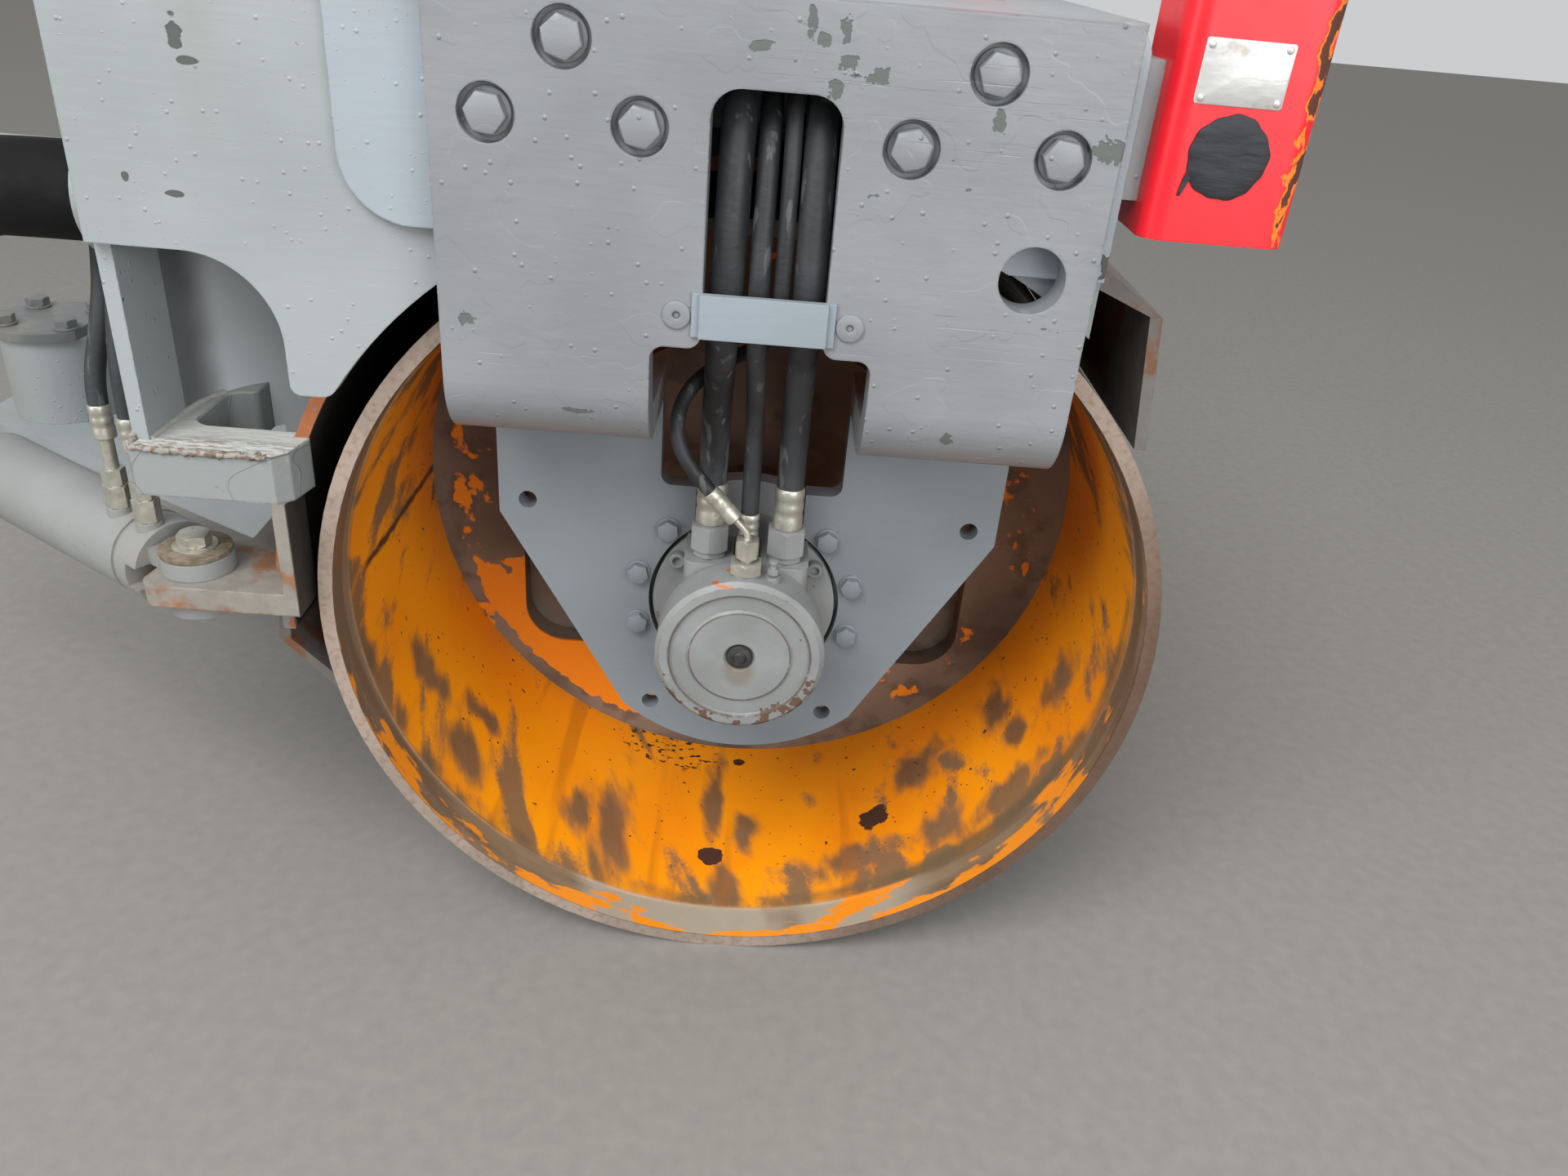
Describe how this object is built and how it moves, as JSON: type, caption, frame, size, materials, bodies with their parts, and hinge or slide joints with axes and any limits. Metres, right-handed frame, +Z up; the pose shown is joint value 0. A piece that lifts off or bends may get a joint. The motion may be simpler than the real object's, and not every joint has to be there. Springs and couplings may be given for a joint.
{
  "type": "tandem roller drum unit",
  "caption": "Half-frame of a tandem road roller with its smooth vibrating drum, hung on cranked legs, with hub motors, hoses, steering cylinder and roll-bar stubs.",
  "frame": {"origin": "middle of the vertical articulation bore", "axes": "+X from the pivot to the drum, +Y from the near side to the far side, +Z up"},
  "size_m": [1.3562, 1.332, 1.2008],
  "materials": {
    "leg_paint": "thick semi-gloss grey paint",
    "frame_paint": "satin bluish grey paint",
    "tongue_paint": "satin light grey paint",
    "motor_paint": "satin light grey paint",
    "drum_shell_steel": "worn bare steel outside, orange paint inside",
    "drum_paint": "worn orange paint",
    "clamp_steel": "dull zinc",
    "plated_steel": "yellowish zinc plating",
    "hose_rubber": "dusty black rubber",
    "cylinder_paint": "satin grey paint",
    "rod_chrome": "polished chrome",
    "post_paint": "worn red paint",
    "scraper_steel": "black paint, rusty"
  },
  "bodies": {
    "frame": {"bundle_collars": "frame_paint", "cylinder_lug": "frame_paint", "deck_plate": "frame_paint", "drum_guard": "frame_paint", "front_scraper": "scraper_steel", "front_scraper_bracket": "scraper_steel", "front_wall": "frame_paint", "hose_bleed": "hose_rubber", "hose_bulkhead_far": "frame_paint", "hose_bulkhead_near": "frame_paint", "hose_bundle": "hose_rubber", "hose_clamp_far": "clamp_steel", "hose_clamp_near": "clamp_steel", "hose_drain": "hose_rubber", "hose_drain_far": "hose_rubber", "hose_ends_far": "plated_steel", "hose_ends_near": "plated_steel", "hose_pressure": "hose_rubber", "hose_pressure_far": "hose_rubber", "hose_return": "hose_rubber", "hose_return_far": "hose_rubber", "leg_bolts": "leg_paint", "leg_far": "leg_paint", "leg_near": "leg_paint", "leg_pads": "frame_paint", "motor_bolts": "leg_paint", "motor_cover_far": "motor_paint", "motor_cover_near": "motor_paint", "motor_far": "motor_paint", "motor_near": "motor_paint", "pivot_arm": "frame_paint", "pivot_boss": "frame_paint", "pivot_cap": "frame_paint", "pocket_walls": "frame_paint", "post_brackets": "frame_paint", "post_far": "post_paint", "post_near": "post_paint", "rear_scraper": "scraper_steel", "rear_scraper_bracket": "scraper_steel", "rear_wall": "frame_paint", "side_plate_far": "frame_paint", "side_plate_near": "frame_paint", "steering_unions": "plated_steel", "step_far": "frame_paint", "step_near": "frame_paint", "swing_bolt": "plated_steel", "tongue_far": "tongue_paint", "tongue_near": "tongue_paint"},
    "drum": {"drum_shell": "drum_shell_steel", "drum_webs": "drum_paint", "exciter_housing": "drum_paint", "drive_discs": "drum_paint", "rubber_buffers": "hose_rubber"},
    "barrel": {"cylinder_barrel": "cylinder_paint", "cylinder_ports": "plated_steel", "steering_hose_front": "hose_rubber", "steering_hose_rear": "hose_rubber"},
    "rod": {"cylinder_rod": "rod_chrome"}
  },
  "joints": [
    {"name": "drum_spin", "type": "hinge", "parent": "frame", "child": "drum", "pos_m": [0.9, 0, 0.026], "axis": [0, 1, 0], "continuous": true},
    {"name": "cylinder_swing", "type": "hinge", "parent": "frame", "child": "barrel", "pos_m": [0.437, -0.586, 0.048], "axis": [0, 0, 1], "range_deg": [-10, 10], "deforming": ["steering_hose_front", "steering_hose_rear"]},
    {"name": "rod_slide", "type": "slide", "parent": "barrel", "child": "rod", "axis": [-0.8387, 0.5446, 0], "range_m": [-0.08, 0.09]}
  ]
}
